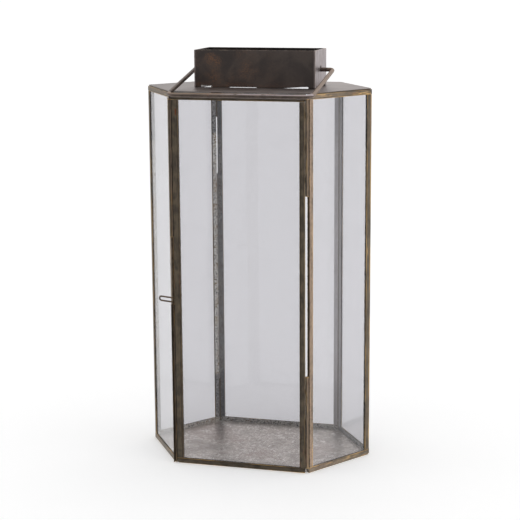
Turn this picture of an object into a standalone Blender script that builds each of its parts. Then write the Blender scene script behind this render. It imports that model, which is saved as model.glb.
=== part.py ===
"""Hexagonal glass candle lantern with a hinged door, a drop latch and a swing bail.

Frame: metres, +Z up, +Y to the rear, origin at the centre of the underside of the base plate.
The plan is a hexagon that is wider than it is deep. Five faces are fixed panes, each held in its
own frame of U-shaped cames, and the front face is the door. A corner is named by its place in the
plan, and a face runs from its left corner to its right corner as seen from outside the lantern.
"""
from math import asin, atan2, cos, hypot, pi, radians, sin, sqrt, tan

import bmesh
import bpy
from mathutils import Matrix, Vector

# ---------------------------------------------------------------- overall sizes
BODY_HEIGHT = 0.3640          # underside of the base plate to the top of the roof plate
FRONT_WIDTH = 0.1360          # between the two front corners
REAR_WIDTH = 0.1320           # between the two rear corners
FRONT_SHIFT = 0.0004          # middle of the front right of the centre line: it is made by hand
REAR_SHIFT = 0.0016           # middle of the rear right of the centre line
OVERALL_WIDTH = 0.2270        # between the left and right corners
BODY_DEPTH = 0.1404           # between the front and rear planes
GAP = 0.0003                  # left between pieces that touch

# ---------------------------------------------------------------- cames and glass
GLASS_THICKNESS = 0.0016
CAME_SHEET = 0.0005           # sheet that the U-section is folded from
CAME_FLANGE = 0.0047          # how far a fixed came covers the glass
CAME_FOOT_FLANGE = 0.0053     # the same, on the bottom rails
CAME_EDGE = 0.0004            # rounding of a came's two outer folds
CORNER_SLIT = 0.0006          # open slit between the inner edges of two frames at a corner
DOOR_LATCH_FLANGE = 0.0065    # the door's stiles, at the latch and at the hinge
DOOR_HINGE_FLANGE = 0.0050
DOOR_BOTTOM_FLANGE = 0.0050
DOOR_TOP_FLANGE = 0.0036
DOOR_CORNER = 0.0024          # rounding of the door's lower latch corner
DOOR_LIFT = 0.0003            # underside of the door above the underside of the base

# ---------------------------------------------------------------- plates and header
BASE_SHEET = 0.0012
ROOF_SHEET = 0.0008
ROOF_INSET = 0.0010           # roof plate's edge behind the faces of the cames
PLATE_CORNER = 0.0030         # cut across each corner of a plate
HEADER_CLEARANCE = 0.0006     # between the door's top and the header above it
VENT_MARGIN = 0.0042          # roof left standing inside the chimney's walls

# ---------------------------------------------------------------- chimney
CHIMNEY_WIDTH = 0.1195
CHIMNEY_DEPTH = 0.0470
CHIMNEY_TOP = 0.0360          # rim above the roof plate
CHIMNEY_SHEET = 0.0008
CHIMNEY_SHIFT = 0.0029        # soldered on a little right of the centre line
HEM_WIDTH = 0.0030            # folded band at the rim
HEM_SHEET = 0.0007            # what the fold adds to the wall inside
SLIT_HEIGHT = 0.0020          # draught slits under the walls
THIN_SLIT_HEIGHT = 0.0006
END_SLIT_MARGIN = 0.0050      # corner feet on the end walls
SLIT_START = 0.0066           # the slits' places, from the left end of the front wall
SLIT_END = 0.0177
THIN_SLIT_START = 0.0352
THIN_SLIT_END = 0.0620
TAPER_START = 0.0870
RIGHT_FOOT = 0.0066           # foot left at the right end

# ---------------------------------------------------------------- bail
BAIL_WIRE = 0.0040
BAIL_PLAY = 0.0088            # from each end of the chimney to an arm's centre line, when centred
BAIL_SLACK_SHIFT = 0.0034     # how far it has slid to the right in its slots
BAIL_REACH = 0.0217           # how much longer an arm is than half the body's depth
BAIL_TIP = 0.0028             # least of a stub that stands inside the chimney's wall
BAIL_BEND = 0.0040            # centre-line radius at the pivots
BAIL_CORNER = 0.0075          # centre-line radius at the bar's ends
PIVOT_HEIGHT = 0.0170         # above the roof plate
SLOT_CLEARANCE = 0.0004       # round the stub
SLOT_RISE = 0.0016            # how far the slot runs on above the stub

# ---------------------------------------------------------------- hinge
HINGE_TUBE = 0.0033
HINGE_PIN = 0.0016
HINGE_CLEARANCE = 0.0003      # round the pin
HINGE_SET_IN = 0.00115        # axis behind the outer face of the right-front frame
UPPER_HINGE_DROP = 0.0008     # top of the upper tube below the top of the door
UPPER_HINGE_LENGTH = 0.0902
LOWER_HINGE_RISE = 0.0049     # foot of the lower tube above the underside of the door
LOWER_HINGE_LENGTH = 0.0907
PIN_LENGTH = 0.0320           # inside the tube
LUG_HEIGHT = 0.0026
LUG_WIDTH = 0.0020

# ---------------------------------------------------------------- latch
LATCH_SLEEVE = 0.0034
LATCH_WIRE = 0.0016
LATCH_CLEARANCE = 0.00025     # round the wire
LATCH_BEARING = radians(50)   # from the left front corner to the wire, right of straight ahead is 90
SLEEVE_DROP = 0.0030          # top of the sleeve below the top of the door
LATCH_OPENING = 0.0657        # bare wire between the keeper and the sleeve
KEEPER_LENGTH = 0.1594
KEEPER_LIP = 0.0012           # the keeper's walls in front of the wire's centre line
LOOP_LENGTH = 0.0172          # wire's centre line to the tip of the finger loop
LOOP_SPACING = 0.0041         # between the loop's two legs
LOOP_BEARING = radians(20)    # the loop points left, swung this far to the rear
LOOP_BEND = 0.0013
BOLT_LENGTH = 0.0450          # leg that drops into the keeper
GUIDE_LENGTH = 0.0220         # leg that runs up inside the sleeve

# ---------------------------------------------------------------- worked out from the above
HALF_WIDTH = OVERALL_WIDTH / 2
HALF_DEPTH = BODY_DEPTH / 2
CAME_DEPTH = GLASS_THICKNESS + 2 * GAP + 2 * CAME_SHEET
ROOF_UNDERSIDE = BODY_HEIGHT - ROOF_SHEET
FRAME_TOP = ROOF_UNDERSIDE - GAP

CORNERS = {
    "front_left": Vector((FRONT_SHIFT - FRONT_WIDTH / 2, -HALF_DEPTH)),
    "front_right": Vector((FRONT_SHIFT + FRONT_WIDTH / 2, -HALF_DEPTH)),
    "right": Vector((HALF_WIDTH, 0.0)),
    "rear_right": Vector((REAR_SHIFT + REAR_WIDTH / 2, HALF_DEPTH)),
    "rear_left": Vector((REAR_SHIFT - REAR_WIDTH / 2, HALF_DEPTH)),
    "left": Vector((-HALF_WIDTH, 0.0)),
}
FIXED_FACES = {
    "right_front": ("front_right", "right"),
    "right_rear": ("right", "rear_right"),
    "rear": ("rear_right", "rear_left"),
    "left_rear": ("rear_left", "left"),
    "left_front": ("left", "front_left"),
}

PIVOT_Z = BODY_HEIGHT + PIVOT_HEIGHT
BAIL_X = CHIMNEY_SHIFT + BAIL_SLACK_SHIFT
BAIL_WIDTH = CHIMNEY_WIDTH + 2 * BAIL_PLAY
BAIL_STUB = BAIL_PLAY + BAIL_SLACK_SHIFT + CHIMNEY_SHEET + BAIL_TIP
BAIL_ARM = HALF_DEPTH + BAIL_REACH
EDGE_DISTANCE = hypot(HALF_DEPTH, PIVOT_HEIGHT)
BAIL_DROOP = atan2(PIVOT_HEIGHT, HALF_DEPTH) - asin((BAIL_WIRE / 2 + GAP) / EDGE_DISTANCE)
BAR_Z = PIVOT_Z - BAIL_ARM * sin(BAIL_DROOP)

SIDE_DIRECTION = (CORNERS["right"] - CORNERS["front_right"]).normalized()
SIDE_INWARD = Vector((-SIDE_DIRECTION.y, SIDE_DIRECTION.x))
HINGE_RADIUS = HINGE_TUBE / 2
HINGE_AXIS = (CORNERS["front_right"] - SIDE_DIRECTION * (HINGE_RADIUS + GAP)
              + SIDE_INWARD * HINGE_SET_IN)
SLEEVE_RADIUS = LATCH_SLEEVE / 2
LATCH_AXIS = (CORNERS["front_left"]
              + Vector((cos(LATCH_BEARING), -sin(LATCH_BEARING))) * (SLEEVE_RADIUS + GAP))

DOOR_FRONT = HINGE_AXIS.y - CAME_DEPTH / 2
DOOR_BACK = HINGE_AXIS.y + CAME_DEPTH / 2
DOOR_LEFT = LATCH_AXIS.x + SLEEVE_RADIUS + GAP
DOOR_RIGHT = HINGE_AXIS.x - HINGE_RADIUS - GAP
DOOR_TOP = BAR_Z - BAIL_WIRE / 2 - GAP
BASE_FRONT_INSET = DOOR_BACK + GAP + HALF_DEPTH
BASE_SIDE_INSET = CAME_DEPTH + GAP
UPPER_HINGE_TOP = DOOR_TOP - UPPER_HINGE_DROP
LOWER_HINGE_BOTTOM = DOOR_LIFT + LOWER_HINGE_RISE
KEEPER_BOTTOM = GAP
KEEPER_TOP = KEEPER_BOTTOM + KEEPER_LENGTH
SLEEVE_BOTTOM = KEEPER_TOP + LATCH_OPENING
SLEEVE_TOP = DOOR_TOP - SLEEVE_DROP
LOOP_BOTTOM = KEEPER_TOP + GAP + LATCH_WIRE

ROUND_SIDES = 24
WIRE_RESOLUTION = 3           # gives a wire ten sides
ARC_STEPS = 7
CUT_PAST = 0.0020             # how far a cutter runs past what it cuts


# ---------------------------------------------------------------- finishes
def make_material(name, color, roughness, metallic, transmission=0.0):
    """A Principled material for one finish."""
    material = bpy.data.materials.new(name)
    material.use_nodes = True
    shader = material.node_tree.nodes["Principled BSDF"]
    shader.inputs["Base Color"].default_value = (*color, 1.0)
    shader.inputs["Roughness"].default_value = roughness
    shader.inputs["Metallic"].default_value = metallic
    shader.inputs["Transmission Weight"].default_value = transmission
    return material


# ---------------------------------------------------------------- building helpers
def add_object(name, data, material, location=(0.0, 0.0, 0.0), turn=0.0, parent=None):
    """Put mesh or curve data in the scene as one named piece."""
    data.materials.append(material)
    piece = bpy.data.objects.new(name, data)
    bpy.context.scene.collection.objects.link(piece)
    piece.parent = parent
    base = Vector(parent.location) if parent else Vector()
    piece.location = Vector(location) - base
    piece.rotation_euler = (0.0, 0.0, turn)
    return piece


def mesh_from(name, shape):
    """Turn a bmesh into a mesh whose faces point outwards."""
    bmesh.ops.recalc_face_normals(shape, faces=shape.faces)
    if shape.calc_volume(signed=True) < 0:
        bmesh.ops.reverse_faces(shape, faces=shape.faces)
    mesh = bpy.data.meshes.new(name)
    shape.to_mesh(mesh)
    shape.free()
    return mesh


def prism(name, outline, low, high, to_point=None):
    """Extrude a closed outline of (x, y) points from low to high, then map each point."""
    shape = bmesh.new()
    bottom = shape.faces.new([shape.verts.new((x, y, low)) for x, y in outline])
    result = bmesh.ops.extrude_face_region(shape, geom=[bottom])
    lifted = [item for item in result["geom"] if isinstance(item, bmesh.types.BMVert)]
    bmesh.ops.translate(shape, verts=lifted, vec=(0.0, 0.0, high - low))
    if to_point:
        for vertex in shape.verts:
            vertex.co = to_point(*vertex.co)
    return mesh_from(name, shape)


def arc(center, radius, start, end, steps):
    """Points on an arc, both ends included."""
    return [(center[0] + radius * cos(start + (end - start) * step / steps),
             center[1] + radius * sin(start + (end - start) * step / steps))
            for step in range(steps + 1)]


def ring_mesh(name, outer_radius, inner_radius, low, high):
    """A straight tube along Z, round the origin."""
    shape = bmesh.new()
    levels = []
    for radius, height in ((outer_radius, low), (outer_radius, high),
                           (inner_radius, high), (inner_radius, low)):
        made = bmesh.ops.create_circle(shape, segments=ROUND_SIDES, radius=radius,
                                       matrix=Matrix.Translation((0.0, 0.0, height)))
        levels.append(made["verts"])
    for first, second in zip(levels, levels[1:] + levels[:1]):
        for index in range(ROUND_SIDES):
            following = (index + 1) % ROUND_SIDES
            shape.faces.new((first[index], first[following], second[following], second[index]))
    return mesh_from(name, shape)


def rounded_path(points, radii):
    """Replace each inner point of a path with an arc of its own centre-line radius."""
    path = [points[0]]
    for before, corner, after, radius in zip(points, points[1:], points[2:], radii):
        to_before = (before - corner).normalized()
        to_after = (after - corner).normalized()
        half_angle = to_before.angle(to_after) / 2
        middle = corner + (to_before + to_after).normalized() * radius / sin(half_angle)
        start = corner + to_before * radius / tan(half_angle) - middle
        end = corner + to_after * radius / tan(half_angle) - middle
        sweep = start.angle(end)
        for step in range(ARC_STEPS + 1):
            share = step / ARC_STEPS
            blend = (start * sin((1 - share) * sweep) + end * sin(share * sweep)) / sin(sweep)
            path.append(middle + blend)
    path.append(points[-1])
    return path


def wire_curve(name, points, diameter):
    """A round wire along a path, with closed ends."""
    curve = bpy.data.curves.new(name, "CURVE")
    curve.dimensions = "3D"
    curve.fill_mode = "FULL"
    curve.bevel_depth = diameter / 2
    curve.bevel_resolution = WIRE_RESOLUTION
    curve.use_fill_caps = True
    spline = curve.splines.new("POLY")
    spline.points.add(len(points) - 1)
    for target, point in zip(spline.points, points):
        target.co = (*point, 1.0)
    return curve


def combine(piece, tool_mesh, operation):
    """Cut a hidden tool's shape from a piece, or join it on."""
    tool = bpy.data.objects.new(tool_mesh.name, tool_mesh)
    bpy.context.scene.collection.objects.link(tool)
    tool.parent = piece.parent
    tool.location = piece.location
    tool.rotation_euler = piece.rotation_euler
    tool.hide_render = True
    tool.display_type = "WIRE"
    modifier = piece.modifiers.new(tool_mesh.name, "BOOLEAN")
    modifier.operation = operation
    modifier.solver = "EXACT"
    modifier.object = tool


def shade_round(mesh):
    """Smooth shading that keeps the sharp edges of a turned piece."""
    mesh.shade_smooth()
    mesh.set_sharp_from_angle(angle=radians(40))
    return mesh


# ---------------------------------------------------------------- cames
def came_outline(flange, corner):
    """Section of a U-shaped came: across the pane from its outer edge, and through its depth."""
    low = arc((CAME_EDGE, CAME_EDGE), CAME_EDGE, 1.5 * pi, pi, 3)
    high = arc((CAME_EDGE, CAME_DEPTH - CAME_EDGE), CAME_EDGE, pi, 0.5 * pi, 3)
    stops = [corner * share for share in (0.35, 1.0)] if corner else []
    outer = [(across, 0.0) for across in reversed(stops)]
    inner = [(across, CAME_DEPTH) for across in stops]
    slot = [(flange, CAME_DEPTH), (flange, CAME_DEPTH - CAME_SHEET),
            (CAME_SHEET, CAME_DEPTH - CAME_SHEET), (CAME_SHEET, CAME_SHEET),
            (flange, CAME_SHEET), (flange, 0.0)]
    return outer + low + high + inner + slot


def came_mesh(name, flange, start, end, to_point, corner=0.0):
    """A came from start to end along its run, with its first end rounded at the outer edge."""
    def place(across, depth, run):
        if across < corner and run < (start + end) / 2:
            run += corner - sqrt(corner ** 2 - (corner - across) ** 2)
        return to_point(run, across, depth)
    return prism(name, came_outline(flange, corner), start, end, place)


def glazed_frame(prefix, width, low, high, flanges, place, corner=0.0):
    """Four cames and a pane. The frame's own X runs to the right and its Y runs inwards."""
    bottom, top, left, right = flanges
    runs = {
        "bottom_rail": (bottom, 0.0, width, lambda run, across, depth: (run, depth, low + across)),
        "top_rail": (top, 0.0, width, lambda run, across, depth: (run, depth, high - across)),
        "left_stile": (left, low + bottom + GAP, high - top - GAP,
                       lambda run, across, depth: (across, depth, run)),
        "right_stile": (right, low + bottom + GAP, high - top - GAP,
                        lambda run, across, depth: (width - across, depth, run)),
    }
    for part, (flange, start, end, to_point) in runs.items():
        name = f"{prefix}_{part}"
        rounding = corner if part == "bottom_rail" else 0.0
        place(name, came_mesh(name, flange, start, end, to_point, rounding), BRONZE)
    edge = CAME_SHEET + GAP
    outline = [(edge, edge), (width - edge, edge),
               (width - edge, CAME_DEPTH - edge), (edge, CAME_DEPTH - edge)]
    name = f"{prefix}_glass"
    place(name, prism(name, outline, low + edge, high - edge), GLASS)


def corner_setback(corner, neighbour_a, neighbour_b):
    """How far a frame stops short of a corner, so that the two frames leave the slit there."""
    if corner in ("front_left", "front_right"):
        return 0.0
    point = CORNERS[corner]
    half_angle = (CORNERS[neighbour_a] - point).angle(CORNERS[neighbour_b] - point) / 2
    return (CORNER_SLIT / 2 + CAME_DEPTH * cos(half_angle)) / sin(half_angle)


def build_fixed_frames():
    """The five fixed panes, each in a frame of four cames."""
    names = list(CORNERS)
    for face, (left, right) in FIXED_FACES.items():
        start, end = CORNERS[left], CORNERS[right]
        before = names[names.index(left) - 1]
        after = names[(names.index(right) + 1) % len(names)]
        direction = (end - start).normalized()
        set_left = corner_setback(left, before, right)
        set_right = corner_setback(right, left, after)
        origin = start + direction * set_left
        width = (end - start).length - set_left - set_right
        turn = atan2(direction.y, direction.x)

        def place(name, mesh, material, at=origin, angle=turn):
            add_object(name, mesh, material, (at.x, at.y, 0.0), angle)

        flanges = (CAME_FOOT_FLANGE, CAME_FLANGE, CAME_FLANGE, CAME_FLANGE)
        glazed_frame(face, width, 0.0, FRAME_TOP, flanges, place)


# ---------------------------------------------------------------- plates
def hexagon(front_inset, side_inset):
    """The plan outline with its front edge and its other edges moved in, each corner cut off."""
    names = list(CORNERS)
    outline = []
    for index, name in enumerate(names):
        point = CORNERS[name]
        to_before = (CORNERS[names[index - 1]] - point).normalized()
        to_after = (CORNERS[names[(index + 1) % len(names)]] - point).normalized()
        angle = to_before.angle(to_after)
        inset_before = front_inset if name == "front_right" else side_inset
        inset_after = front_inset if name == "front_left" else side_inset
        moved = point + (to_before * inset_after + to_after * inset_before) / sin(angle)
        cut = PLATE_CORNER / 2 / sin(angle / 2)
        outline += [tuple(moved + to_before * cut), tuple(moved + to_after * cut)]
    return outline


def box_mesh(name, low, high):
    """A plain block between two corners."""
    outline = [(low[0], low[1]), (high[0], low[1]), (high[0], high[1]), (low[0], high[1])]
    return prism(name, outline, low[2], high[2])


def build_plates():
    """Base plate, roof plate with its vent hole, and the header over the door."""
    base_outline = hexagon(BASE_FRONT_INSET, BASE_SIDE_INSET)
    add_object("base_plate", prism("base_plate", base_outline, 0.0, BASE_SHEET), ZINC)
    roof_outline = hexagon(ROOF_INSET, ROOF_INSET)
    roof = add_object("roof_plate", prism("roof_plate", roof_outline, ROOF_UNDERSIDE, BODY_HEIGHT),
                      BRONZE)
    half_hole = (CHIMNEY_WIDTH / 2 - CHIMNEY_SHEET - VENT_MARGIN,
                 CHIMNEY_DEPTH / 2 - CHIMNEY_SHEET - VENT_MARGIN)
    combine(roof, box_mesh("vent_hole_cutter",
                           (CHIMNEY_SHIFT - half_hole[0], -half_hole[1], ROOF_UNDERSIDE - CUT_PAST),
                           (CHIMNEY_SHIFT + half_hole[0], half_hole[1], BODY_HEIGHT + CUT_PAST)),
            "DIFFERENCE")
    latch_side = (CORNERS["front_left"] - CORNERS["left"]).normalized()
    header_left = CORNERS["front_left"].x - latch_side.y * CAME_DEPTH - GAP / latch_side.y
    add_object("door_header",
               box_mesh("door_header",
                        (header_left, -HALF_DEPTH, DOOR_TOP + HEADER_CLEARANCE),
                        (DOOR_RIGHT, -HALF_DEPTH + CAME_DEPTH, FRAME_TOP)), BRONZE)


# ---------------------------------------------------------------- chimney
def rectangle(half_width, half_depth, height):
    """Four corners of a level rectangle round the chimney's centre line."""
    return [Vector((CHIMNEY_SHIFT + x * half_width, y * half_depth, height))
            for x, y in ((-1, -1), (1, -1), (1, 1), (-1, 1))]


def chimney_slit_cutters(bottom):
    """Prisms along Y for the slits under the long walls, each given as its outline in X and Z."""
    left = CHIMNEY_SHIFT - CHIMNEY_WIDTH / 2
    right = left + CHIMNEY_WIDTH - RIGHT_FOOT
    below = bottom - CUT_PAST
    return {
        "left_slit": [(left + SLIT_START, below), (left + SLIT_END, below),
                      (left + SLIT_END, bottom + SLIT_HEIGHT),
                      (left + SLIT_START, bottom + SLIT_HEIGHT)],
        "thin_slit": [(left + THIN_SLIT_START, below), (left + THIN_SLIT_END, below),
                      (left + THIN_SLIT_END, bottom + THIN_SLIT_HEIGHT),
                      (left + THIN_SLIT_START, bottom + THIN_SLIT_HEIGHT)],
        "taper_slit": [(left + TAPER_START, below), (right, below),
                       (right, bottom + SLIT_HEIGHT), (left + TAPER_START, bottom)],
    }


def slot_outline():
    """The bail's slot in an end wall, as (y, z) points: round below and round above."""
    radius = BAIL_WIRE / 2 + SLOT_CLEARANCE
    steps = ROUND_SIDES // 2
    return (arc((0.0, PIVOT_Z + SLOT_RISE), radius, 0.0, pi, steps)
            + arc((0.0, PIVOT_Z), radius, pi, 2 * pi, steps))


def build_chimney():
    """Open rectangular sleeve on feet, with a folded rim and a slot at each end for the bail."""
    half = (CHIMNEY_WIDTH / 2, CHIMNEY_DEPTH / 2)
    bottom, rim = BODY_HEIGHT + GAP, BODY_HEIGHT + CHIMNEY_TOP
    hem = CHIMNEY_SHEET + HEM_SHEET
    shape = bmesh.new()
    rings = []
    for inset, height in ((0.0, bottom), (0.0, rim), (hem, rim), (hem, rim - HEM_WIDTH),
                          (CHIMNEY_SHEET, rim - HEM_WIDTH), (CHIMNEY_SHEET, bottom)):
        corners = rectangle(half[0] - inset, half[1] - inset, height)
        rings.append([shape.verts.new(corner) for corner in corners])
    for first, second in zip(rings, rings[1:] + rings[:1]):
        for index in range(4):
            following = (index + 1) % 4
            shape.faces.new((first[index], first[following], second[following], second[index]))
    chimney = add_object("chimney", mesh_from("chimney", shape), BRONZE)

    reach = half[1] + CUT_PAST
    for name, outline in chimney_slit_cutters(bottom).items():
        combine(chimney, prism(f"{name}_cutter", outline, -reach, reach,
                               lambda x, z, y: (x, y, z)), "DIFFERENCE")
    end_slit = half[1] - END_SLIT_MARGIN
    reach = half[0] + CUT_PAST
    combine(chimney, box_mesh("end_slit_cutter",
                              (CHIMNEY_SHIFT - reach, -end_slit, bottom - CUT_PAST),
                              (CHIMNEY_SHIFT + reach, end_slit, bottom + SLIT_HEIGHT)),
            "DIFFERENCE")
    combine(chimney, prism("bail_slot_cutter", slot_outline(), CHIMNEY_SHIFT - reach,
                           CHIMNEY_SHIFT + reach, lambda y, z, x: (x, y, z)), "DIFFERENCE")


# ---------------------------------------------------------------- bail
def build_bail():
    """Round-wire handle, lying forward on the roof's edge, with its origin on the pivot axis."""
    drop = Vector((0.0, -cos(BAIL_DROOP), -sin(BAIL_DROOP))) * BAIL_ARM
    side = Vector((BAIL_WIDTH / 2, 0.0, 0.0))
    stub = Vector((BAIL_STUB, 0.0, 0.0))
    corners = [stub - side, -side, drop - side, drop + side, side, side - stub]
    path = rounded_path(corners, (BAIL_BEND, BAIL_CORNER, BAIL_CORNER, BAIL_BEND))
    add_object("bail_handle", wire_curve("bail_handle", path, BAIL_WIRE), BRONZE,
               (BAIL_X, 0.0, PIVOT_Z))


# ---------------------------------------------------------------- hinge
def build_hinge_pin(name, low, high, lug_low):
    """A pin in the right-front frame: a rod, with a lug that reaches the frame's edge."""
    rod = prism(name, arc((0.0, 0.0), HINGE_PIN / 2, 0.0, 2 * pi, ROUND_SIDES)[:-1], low, high)
    pin = add_object(name, shade_round(rod), BRONZE, (HINGE_AXIS.x, HINGE_AXIS.y, 0.0),
                     atan2(SIDE_DIRECTION.y, SIDE_DIRECTION.x))
    lug = box_mesh(f"{name}_lug", (0.0, -LUG_WIDTH / 2, lug_low),
                   (HINGE_RADIUS, LUG_WIDTH / 2, lug_low + LUG_HEIGHT))
    combine(pin, lug, "UNION")


def build_hinge(door):
    """Two tubes on the door, and a pin in each from its outer end."""
    bore = HINGE_PIN / 2 + HINGE_CLEARANCE
    place = (HINGE_AXIS.x, HINGE_AXIS.y, 0.0)
    upper_bottom = UPPER_HINGE_TOP - UPPER_HINGE_LENGTH
    for name, low, length in (("upper_hinge_tube", upper_bottom, UPPER_HINGE_LENGTH),
                              ("lower_hinge_tube", LOWER_HINGE_BOTTOM, LOWER_HINGE_LENGTH)):
        mesh = shade_round(ring_mesh(name, HINGE_RADIUS, bore, low, low + length))
        add_object(name, mesh, BRONZE, place, parent=door)
    upper_lug = UPPER_HINGE_TOP + GAP
    build_hinge_pin("upper_hinge_pin", UPPER_HINGE_TOP - PIN_LENGTH,
                    upper_lug + LUG_HEIGHT / 2, upper_lug)
    lower_lug = LOWER_HINGE_BOTTOM - GAP - LUG_HEIGHT
    build_hinge_pin("lower_hinge_pin", lower_lug + LUG_HEIGHT / 2,
                    LOWER_HINGE_BOTTOM + PIN_LENGTH, lower_lug)


# ---------------------------------------------------------------- latch
def build_latch(door):
    """Drop latch: a sleeve on the door, an open-fronted keeper on the body, and the wire."""
    bore = LATCH_WIRE / 2 + LATCH_CLEARANCE
    place = (LATCH_AXIS.x, LATCH_AXIS.y, 0.0)
    sleeve = shade_round(ring_mesh("latch_sleeve", SLEEVE_RADIUS, bore,
                                   SLEEVE_BOTTOM, SLEEVE_TOP))
    add_object("latch_sleeve", sleeve, BRONZE, place, parent=door)

    steps = ROUND_SIDES // 2
    outline = ([(SLEEVE_RADIUS, -KEEPER_LIP)] + arc((0.0, 0.0), SLEEVE_RADIUS, 0.0, pi, steps)
               + [(-SLEEVE_RADIUS, -KEEPER_LIP), (-bore, -KEEPER_LIP)]
               + arc((0.0, 0.0), bore, pi, 0.0, steps) + [(bore, -KEEPER_LIP)])
    keeper = prism("latch_keeper", outline, KEEPER_BOTTOM, KEEPER_TOP)
    add_object("latch_keeper", shade_round(keeper), BRONZE, place)

    out = Vector((-cos(LOOP_BEARING), sin(LOOP_BEARING), 0.0)) * (LOOP_LENGTH - LATCH_WIRE / 2)
    low = Vector((0.0, 0.0, LOOP_BOTTOM))
    high = low + Vector((0.0, 0.0, LOOP_SPACING))
    corners = [Vector((0.0, 0.0, KEEPER_TOP - BOLT_LENGTH)), low, low + out, high + out, high,
               Vector((0.0, 0.0, SLEEVE_BOTTOM + GUIDE_LENGTH))]
    end_radius = LOOP_SPACING / 2
    path = rounded_path(corners, (LOOP_BEND, end_radius, end_radius, LOOP_BEND))
    add_object("latch_wire", wire_curve("latch_wire", path, LATCH_WIRE), WIRE, place, parent=door)


# ---------------------------------------------------------------- door
def build_door():
    """The front pane in its own heavier frame, on an empty at the hinge axis."""
    door = bpy.data.objects.new("door_axis", None)
    bpy.context.scene.collection.objects.link(door)
    door.location = (HINGE_AXIS.x, HINGE_AXIS.y, 0.0)

    def place(name, mesh, material):
        add_object(name, mesh, material, (DOOR_LEFT, DOOR_FRONT, 0.0), parent=door)

    flanges = (DOOR_BOTTOM_FLANGE, DOOR_TOP_FLANGE, DOOR_LATCH_FLANGE, DOOR_HINGE_FLANGE)
    glazed_frame("door", DOOR_RIGHT - DOOR_LEFT, DOOR_LIFT, DOOR_TOP, flanges, place, DOOR_CORNER)
    return door


for leftover in list(bpy.data.objects):
    bpy.data.objects.remove(leftover, do_unlink=True)

BRONZE = make_material("aged_bronze", (0.085, 0.072, 0.055), 0.45, 0.85)
ZINC = make_material("galvanised_zinc", (0.40, 0.37, 0.35), 0.42, 0.80)
WIRE = make_material("dark_wire", (0.050, 0.040, 0.030), 0.40, 0.85)
GLASS = make_material("clear_glass", (0.95, 0.96, 0.96), 0.03, 0.0, 1.0)

build_plates()
build_fixed_frames()
build_chimney()
build_bail()
DOOR_AXIS = build_door()
build_hinge(DOOR_AXIS)
build_latch(DOOR_AXIS)
bpy.context.view_layer.update()
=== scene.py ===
"""Looks of the hexagonal candle lantern: metal and glass finishes, solder work, studio and camera.

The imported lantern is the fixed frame. Each of its pieces gets the finish that it has on the real
object, and the solder that holds the sheet metal together is modelled and rides with it.
"""

from __future__ import annotations

import logging
import math
from dataclasses import dataclass, field
from enum import Enum

import bpy
from mathutils import Matrix, Vector


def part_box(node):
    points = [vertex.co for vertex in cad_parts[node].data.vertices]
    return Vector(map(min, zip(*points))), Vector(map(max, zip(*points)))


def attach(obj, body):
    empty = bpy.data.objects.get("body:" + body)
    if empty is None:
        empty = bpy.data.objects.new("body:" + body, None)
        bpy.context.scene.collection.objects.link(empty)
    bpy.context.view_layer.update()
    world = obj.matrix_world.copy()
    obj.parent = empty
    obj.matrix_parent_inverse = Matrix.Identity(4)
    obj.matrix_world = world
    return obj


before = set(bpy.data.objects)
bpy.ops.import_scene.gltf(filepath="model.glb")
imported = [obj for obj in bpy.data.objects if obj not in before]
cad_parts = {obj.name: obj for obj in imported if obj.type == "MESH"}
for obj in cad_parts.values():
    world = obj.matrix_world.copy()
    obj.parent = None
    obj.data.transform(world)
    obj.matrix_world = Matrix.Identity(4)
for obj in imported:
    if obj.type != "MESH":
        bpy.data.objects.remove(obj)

log = logging.getLogger("lantern")
Colour = tuple[float, float, float, float]


def tone(red: float, green: float, blue: float) -> Colour:
    """Turn a colour as a screen shows it into the linear values that a shader takes.

    Args:
        red: Red, from 0 to 1.
        green: Green, from 0 to 1.
        blue: Blue, from 0 to 1.

    Returns:
        The linear colour, opaque.
    """
    return (*(((part + 0.055) / 1.055) ** 2.4 for part in (red, green, blue)), 1.0)


# ------------------------------------------------------------------------------------ shader maths
class Value:
    """A number on a socket, which Python's arithmetic turns into Math nodes."""

    def __init__(self, graph: Graph, socket: bpy.types.NodeSocket) -> None:
        """Wrap one output socket of a graph."""
        self.graph = graph
        self.socket = socket

    def __add__(self, other: Number) -> Value:
        """Return self + other."""
        return self.graph.math("ADD", self, other)

    def __sub__(self, other: Number) -> Value:
        """Return self - other."""
        return self.graph.math("SUBTRACT", self, other)

    def __rsub__(self, other: Number) -> Value:
        """Return other - self."""
        return self.graph.math("SUBTRACT", other, self)

    def __mul__(self, other: Number) -> Value:
        """Return self * other."""
        return self.graph.math("MULTIPLY", self, other)

    def __abs__(self) -> Value:
        """Return the size of self without its sign."""
        return self.graph.math("ABSOLUTE", self)

    __radd__ = __add__
    __rmul__ = __mul__

    def most(self, other: Number) -> Value:
        """Return the larger of self and other."""
        return self.graph.math("MAXIMUM", self, other)

    def step(self, low: float, high: float) -> Value:
        """Rise smoothly from 0 where self is low to 1 where it is high.

        Args:
            low: Where the result is 0. It may be above high, for a fall.
            high: Where the result is 1.

        Returns:
            The eased value, from 0 to 1.
        """
        settings = {"interpolation_type": "SMOOTHSTEP"}
        inputs = {"Value": self, "From Min": low, "From Max": high}
        if low > high:
            inputs = {"Value": self, "From Min": high, "From Max": low, "To Min": 1.0, "To Max": 0.0}
        return Value(self.graph, self.graph.node("ShaderNodeMapRange", settings, inputs))


Number = Value | float


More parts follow.
